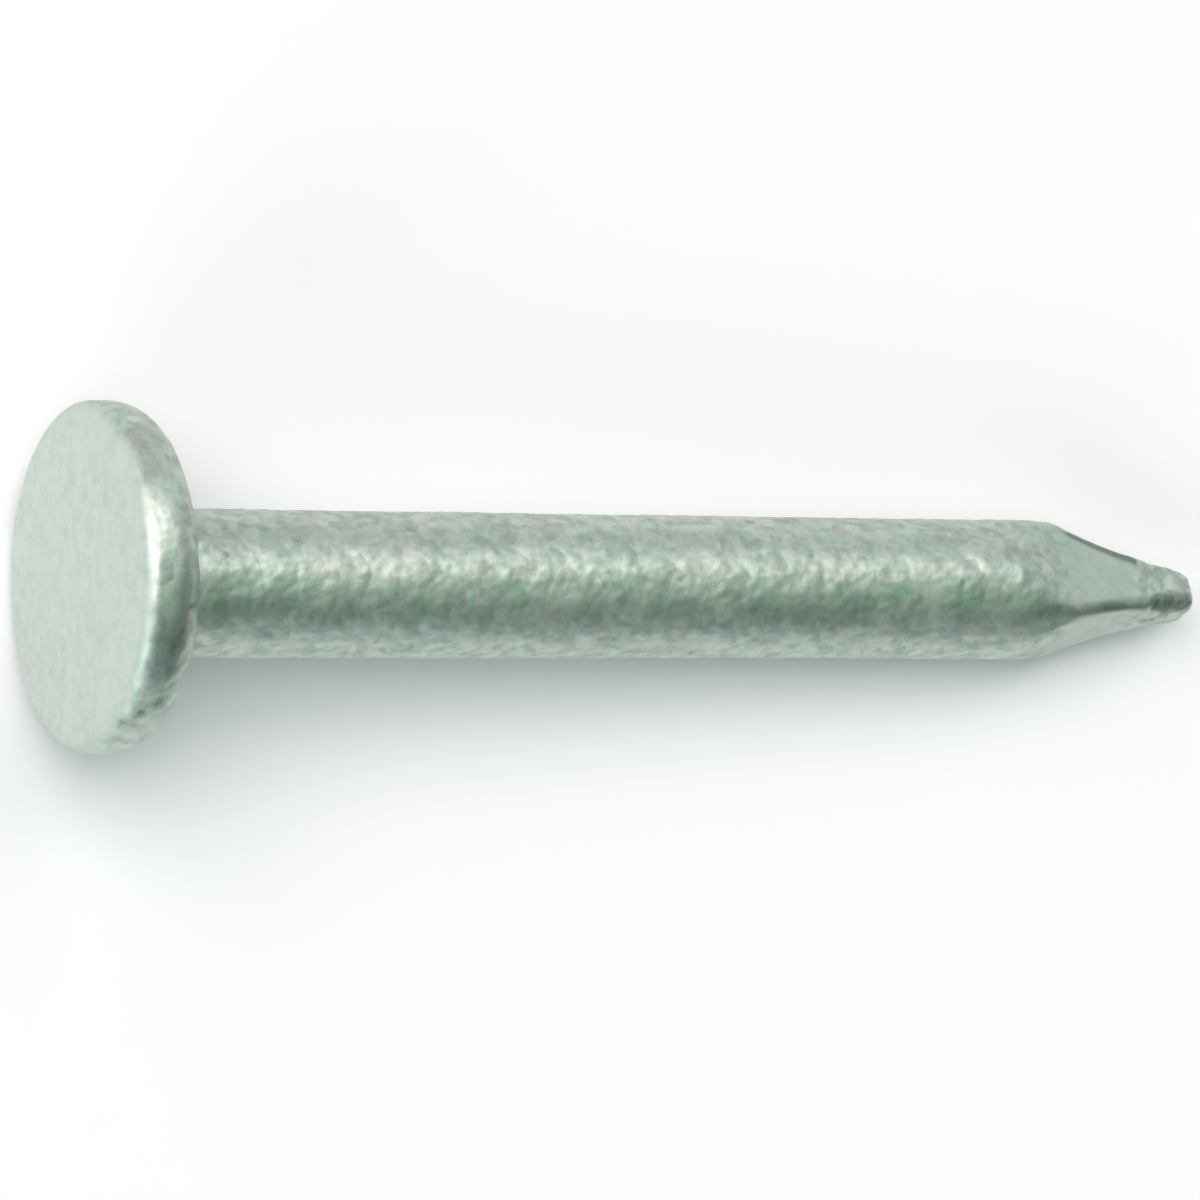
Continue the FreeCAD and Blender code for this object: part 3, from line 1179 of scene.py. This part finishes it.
@dataclass
class Studio:
    """The floor, lights and camera round the nail.

    The camera leans from straight up towards the head's end, and rolls a little. It aims at a
    share of the nail's length from the struck face, and a little aside. The lens and the sensor
    are in millimetres. The steepest lie and the halvings bound the search for how the nail rests.
    """

    coat: bpy.types.Object
    floor_half: float = 0.9
    room: Tint = (0.033, 0.056, 0.052)
    lean: float = math.radians(26.9)
    roll: float = math.radians(0.38)
    lens: float = 250.0
    sensor: float = 36.0
    clip: tuple[float, float] = (0.01, 10.0)
    distance: float = 0.1814
    aim_along: float = 0.4568
    aim_aside: float = -0.30 * MM
    steepest: float = math.radians(30.0)
    halvings: int = 40

    PANELS: ClassVar[tuple[Panel, ...]] = (
        Panel("key", 150.0, 56.0, 18.0, 21.0, 4.00, (1.0, 0.925, 0.945)),
        Panel("strip", 72.0, 55.0, 17.0, 13.0, 2.50, (1.0, 0.965, 0.935)),
        Panel("overhead", 180.0, 74.0, 14.0, 12.0, 1.5),
        Panel("green_fill", 350.0, 60.0, 18.0, 18.0, 0.27, (0.20, 1.0, 0.45)),
        Panel("low_45", 45.0, 20.0, 20.0, 18.0, 0.60, (0.90, 1.0, 1.0)),
        Panel("low_135", 135.0, 20.0, 20.0, 18.0, 1.00, (0.95, 1.0, 1.0)),
        Panel("low_180", 180.0, 20.0, 20.0, 18.0, 0.86, (0.90, 1.0, 1.0)),
        Panel("low_225", 225.0, 20.0, 14.5, 14.0, 3.00, (0.92, 1.0, 1.0)),
        Panel("low_270", 270.0, 20.0, 20.0, 18.0, 0.60, (0.76, 1.0, 0.98)),
    )

    def rest_tilt(self) -> tuple[float, float]:
        """Return the angle and height of the plane on which the rim and the tip both rest.

        A plane's normal is (-sin t, 0, cos t). The head's and the point's least distances along
        it move opposite ways as t grows, so halving the interval finds the t where they agree.

        Returns:
            The angle t, and the plane's distance from the origin along its normal.
        """
        count = len(self.coat.data.vertices)
        flat = np.empty(count * 3)
        self.coat.data.vertices.foreach_get("co", flat)
        points = flat.reshape(-1, 3)
        head, rest = points[points[:, 0] < 0.0], points[points[:, 0] >= 0.0]
        low, high = 0.0, self.steepest
        for _ in range(self.halvings):
            angle = (low + high) / 2
            normal = np.array([-math.sin(angle), 0.0, math.cos(angle)])
            if (head @ normal).min() < (rest @ normal).min():
                low = angle
            else:
                high = angle
        return angle, float((points @ normal).min())

    def floor(self) -> bpy.types.Object:
        """Lay a wide flat floor under the nail, on the plane where it rests.

        Returns:
            The floor's object.
        """
        angle, height = self.rest_tilt()
        normal = Vector((-math.sin(angle), 0.0, math.cos(angle)))
        along = Vector((math.cos(angle), 0.0, math.sin(angle)))
        corners = [
            normal * height + along * (x * self.floor_half) + Vector((0, y * self.floor_half, 0))
            for x, y in ((-1, -1), (1, -1), (1, 1), (-1, 1))
        ]
        mesh = bpy.data.meshes.new("floor")
        mesh.from_pydata([tuple(corner) for corner in corners], [], [(0, 1, 2, 3)])
        made = bpy.data.objects.new("floor", mesh)
        bpy.context.scene.collection.objects.link(made)
        mesh.materials.append(PaleFloor().material())
        return made

    def lights(self) -> None:
        """Hang the panels round the nail, in a dim even room."""
        middle = Vector((CAD_BOX[0] + CAD_BOX[1]) / 2)
        for panel in self.PANELS:
            panel.hang(middle)
        world = bpy.data.worlds.new("studio_room")
        bpy.context.scene.world = world
        graph = Graph(world)
        room = graph.node("ShaderNodeBackground", inputs={"Color": (*self.room, 1.0)})
        graph.node("ShaderNodeOutputWorld", inputs={"Surface": room})

    def camera(self) -> None:
        """Place a long lens above the nail, leaning from straight up towards the head's end."""
        low, high = CAD_BOX
        aim = Vector((low[0] + (high[0] - low[0]) * self.aim_along, self.aim_aside, 0.0))
        right = Vector((math.cos(self.lean), 0.0, math.sin(self.lean)))
        back = Vector((-math.sin(self.lean), 0.0, math.cos(self.lean)))
        turn = Matrix((right, back.cross(right), back)).transposed()
        turn = turn @ Matrix.Rotation(self.roll, 3, "Z")
        data = bpy.data.cameras.new("camera")
        data.lens = self.lens
        data.sensor_width = self.sensor
        data.clip_start, data.clip_end = self.clip
        made = bpy.data.objects.new("camera", data)
        bpy.context.scene.collection.objects.link(made)
        made.matrix_world = Matrix.Translation(aim + back * self.distance) @ turn.to_4x4()
        bpy.context.scene.camera = made

    def set_up(self) -> None:
        """Lay the floor, hang the panels and place the camera."""
        self.floor()
        self.lights()
        self.camera()
        bpy.context.scene.view_settings.view_transform = "Standard"


def report(piece: bpy.types.Object) -> None:
    """Log a piece's name and its number of faces."""
    LOG.info("%s: %d faces", piece.name, len(piece.data.polygons))


def put_on(piece: bpy.types.Object, node: str) -> None:
    """Put a piece on the nail's body, in place of its CAD node.

    Args:
        piece: The finished piece.
        node: The CAD node that it replaces.
    """
    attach(piece, BODY)
    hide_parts(node)
    report(piece)


def main() -> None:
    """Build the pieces in order, report each, and set up the studio."""
    logging.basicConfig(level=logging.INFO, format="%(name)s %(message)s")
    zinc = ZincCoat(NailForm.from_frame())
    coat, wire = zinc.build(), zinc.build_wire()
    put_on(coat, COAT_NODE)
    put_on(wire, STEEL_NODE)
    Studio(coat).set_up()


if __name__ == "__main__":
    main()
